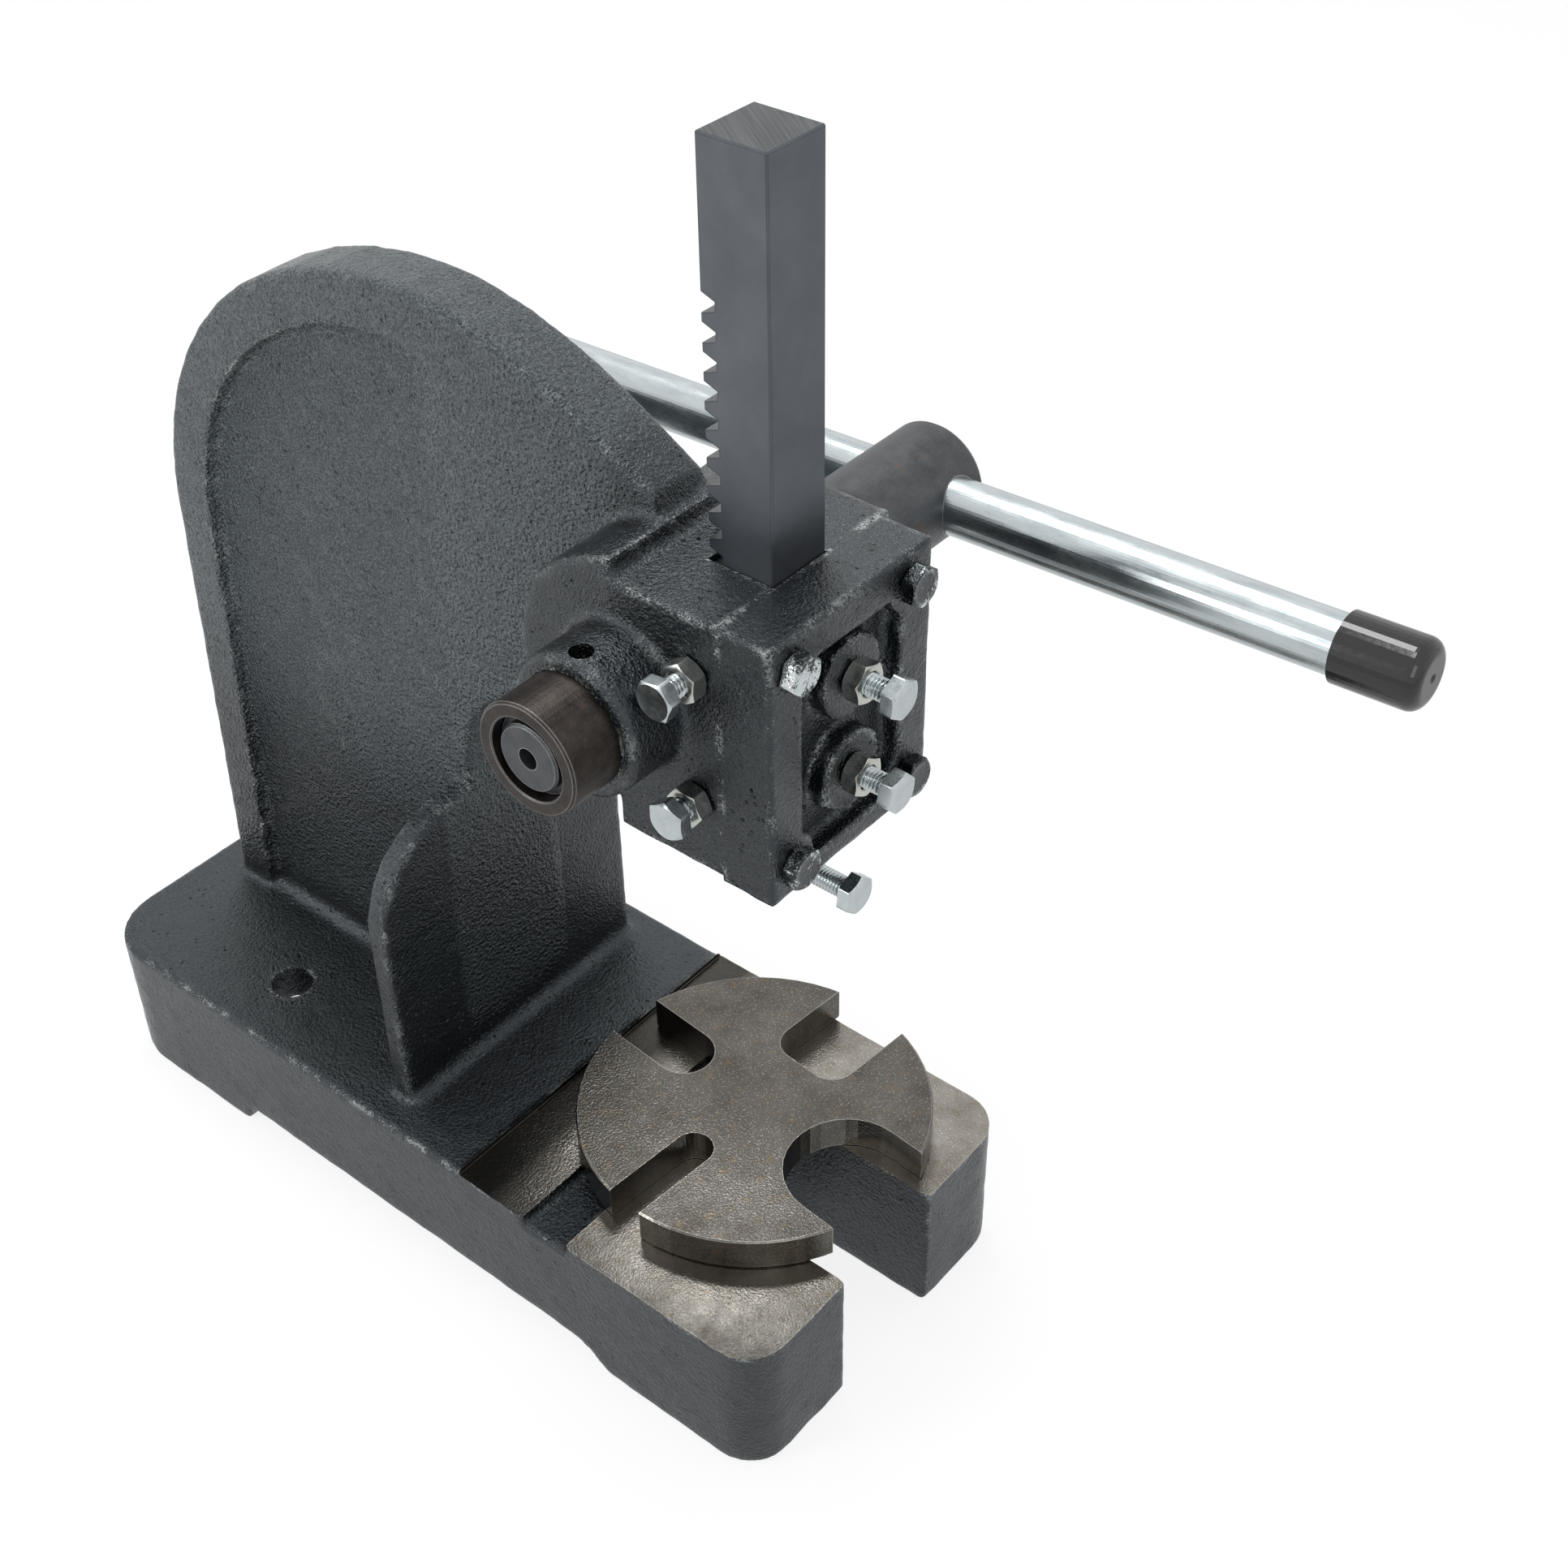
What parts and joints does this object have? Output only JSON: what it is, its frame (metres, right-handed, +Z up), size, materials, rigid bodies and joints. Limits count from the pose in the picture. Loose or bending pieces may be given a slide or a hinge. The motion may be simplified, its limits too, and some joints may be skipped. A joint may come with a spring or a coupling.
{
  "type": "arbor press",
  "caption": "Bench arbor press: cast frame with a throat and forked base, square rack ram driven by a pinion and sliding lever, slotted turning anvil plate.",
  "frame": {"origin": "on the bench plane, under the middle of the rear foot's wall, on the casting's plane of symmetry", "axes": "+Z up; the front of the press (cover, fork and ram side) faces -Y; the lever hub is at +X"},
  "size_m": [0.2108, 0.4944, 0.4863],
  "materials": {
    "black_paint": "semi-gloss black enamel over a sand-cast skin; bare machined table faces are warm grey",
    "painted_steel": "black enamel, chipped to zinc",
    "ram_steel": "dark grey ground steel, satin",
    "oxide_steel": "black oxide with a bright turned end face",
    "zinc_plate": "bright zinc plate",
    "gib_steel": "plain steel",
    "ground_iron": "fine blasted and ground, bare",
    "black_vinyl": "glossy dipped vinyl"
  },
  "bodies": {
    "press": {"press_frame": "black_paint", "guide_cover": "black_paint", "cover_bolt_1": "painted_steel", "cover_bolt_2": "painted_steel", "cover_bolt_3": "painted_steel", "cover_bolt_4": "painted_steel", "front_adjuster_upper": "zinc_plate", "front_adjuster_lower": "zinc_plate", "front_lock_nut_upper": "zinc_plate", "front_lock_nut_lower": "zinc_plate", "side_adjuster_upper": "zinc_plate", "side_adjuster_lower": "zinc_plate", "side_lock_nut_upper": "zinc_plate", "side_lock_nut_lower": "zinc_plate", "front_gib": "gib_steel", "side_gib": "gib_steel", "pinion_bush": "oxide_steel"},
    "pinion": {"pinion_shaft": "oxide_steel", "shaft_ring": "gib_steel"},
    "lever": {"lever_bar": "zinc_plate", "lever_cap_front": "black_vinyl", "lever_cap_rear": "black_vinyl"},
    "ram": {"ram": "ram_steel"},
    "clamp_screw": {"ram_clamp_screw": "zinc_plate"},
    "anvil": {"anvil_plate": "ground_iron"}
  },
  "joints": [
    {"name": "lever_turn", "type": "hinge", "parent": "press", "child": "pinion", "pos_m": [0, -0.2857, 0.3098], "axis": [1, 0, 0], "range_deg": [-40, 460]},
    {"name": "ram_travel", "type": "slide", "parent": "press", "child": "ram", "axis": [0, 0, 1], "range_m": [-0.1206, 0.0106]},
    {"name": "lever_slide", "type": "slide", "parent": "pinion", "child": "lever", "axis": [0, -0.9993, 0.0384], "range_m": [-0.147, 0.1645]},
    {"name": "clamp_screw_travel", "type": "slide", "parent": "ram", "child": "clamp_screw", "axis": [0, -1, 0], "range_m": [-0.0015, 0.005]},
    {"name": "anvil_turn", "type": "hinge", "parent": "press", "child": "anvil", "pos_m": [0.0121, -0.2895, 0.0653], "axis": [0, 0, 1], "continuous": true}
  ],
  "couplings": [
    {"joint": "ram_travel", "follows": "lever_turn", "m_per_rad": -0.015}
  ]
}
